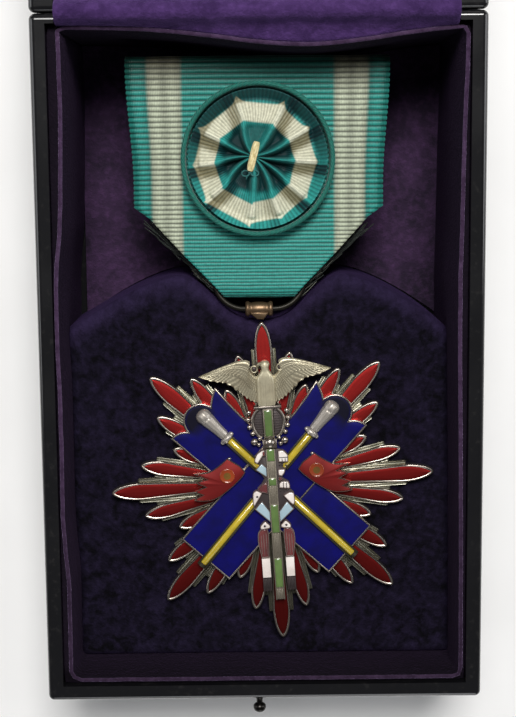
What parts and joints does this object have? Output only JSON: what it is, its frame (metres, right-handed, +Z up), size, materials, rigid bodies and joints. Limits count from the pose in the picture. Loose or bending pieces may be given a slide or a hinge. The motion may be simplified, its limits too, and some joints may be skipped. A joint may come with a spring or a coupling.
{
  "type": "order medal in presentation case",
  "caption": "Enamelled star badge hanging from a striped ribbon with rosette, lying on velvet in a lacquered case whose lid is open on its hinge",
  "frame": {"origin": "centre of the case's underside, on the surface it stands on", "axes": "+X to the right across the ribbon, +Y from the badge to the hinge, +Z up"},
  "size_m": [0.0594, 0.1873, 0.0298],
  "materials": {
    "black_lacquer": "gloss black lacquer",
    "dark_velvet": "dark purple velvet",
    "purple_velvet": "purple velvet",
    "dark_metal": "darkened brass",
    "hinge_brass": "plain brass",
    "ribbon_cloth": "ribbed silk, teal with two cream stripes",
    "steel": "plain steel",
    "rosette_cloth": "ribbed silk, teal with a cream band",
    "cream_thread": "wound cream thread",
    "copper_wire": "copper-toned wire",
    "silver": "aged silver",
    "red_enamel": "translucent red enamel over ribbed silver",
    "blue_enamel": "deep blue enamel",
    "grey_silver": "dull silver",
    "yellow_enamel": "yellow enamel",
    "orange_enamel": "orange-brown enamel",
    "silver_gilt": "worn silver gilt",
    "green_enamel": "green enamel",
    "white_enamel": "white enamel",
    "pale_blue_enamel": "pale blue enamel",
    "maroon_enamel": "maroon enamel"
  },
  "bodies": {
    "case": {"case_base": "black_lacquer", "case_liner": "dark_velvet", "well_floor": "dark_velvet", "bed_pad": "dark_velvet", "ribbon_rest": "dark_velvet", "hinge_flap": "purple_velvet", "catch_button": "dark_metal", "hinge_base_leaf": "hinge_brass", "hinge_pin": "hinge_brass", "ribbon": "ribbon_cloth", "ribbon_bar": "steel", "rosette_backing": "rosette_cloth", "rosette_rim": "rosette_cloth", "rosette_pleats": "rosette_cloth", "rosette_stitch": "cream_thread", "suspension_ring": "copper_wire", "eyelet": "copper_wire", "star_plate": "silver", "shields_frame": "silver", "banner_left": "silver", "banner_right": "silver", "guard": "silver", "ray_enamel_1": "red_enamel", "ray_enamel_2": "red_enamel", "ray_enamel_3": "red_enamel", "ray_enamel_4": "red_enamel", "ray_enamel_5": "red_enamel", "ray_enamel_6": "red_enamel", "ray_enamel_7": "red_enamel", "ray_enamel_8": "red_enamel", "flank_enamel_1": "red_enamel", "flank_enamel_2": "red_enamel", "flank_enamel_3": "red_enamel", "flank_enamel_4": "red_enamel", "flank_enamel_5": "red_enamel", "flank_enamel_6": "red_enamel", "flank_enamel_7": "red_enamel", "flank_enamel_8": "red_enamel", "short_enamels": "red_enamel", "banner_enamel_left": "red_enamel", "banner_enamel_right": "red_enamel", "shield_enamel_left": "blue_enamel", "shield_enamel_right": "blue_enamel", "staff_head_left": "grey_silver", "staff_head_right": "grey_silver", "sword": "grey_silver", "tassels": "grey_silver", "shaft_left": "yellow_enamel", "shaft_right": "yellow_enamel", "crest_left": "orange_enamel", "crest_right": "orange_enamel", "kite": "silver_gilt", "sword_enamel": "green_enamel", "cord_white": "white_enamel", "cord_blue": "pale_blue_enamel", "cord_maroon": "maroon_enamel"},
    "lid": {"lid_shell": "black_lacquer", "lid_lining": "purple_velvet", "hinge_lid_leaf": "hinge_brass"}
  },
  "joints": [
    {"name": "lid_hinge", "type": "hinge", "parent": "case", "child": "lid", "pos_m": [0, 0.04625, 0.02805], "axis": [1, 0, 0], "range_deg": [0, 180], "deforming": ["hinge_flap"]}
  ]
}
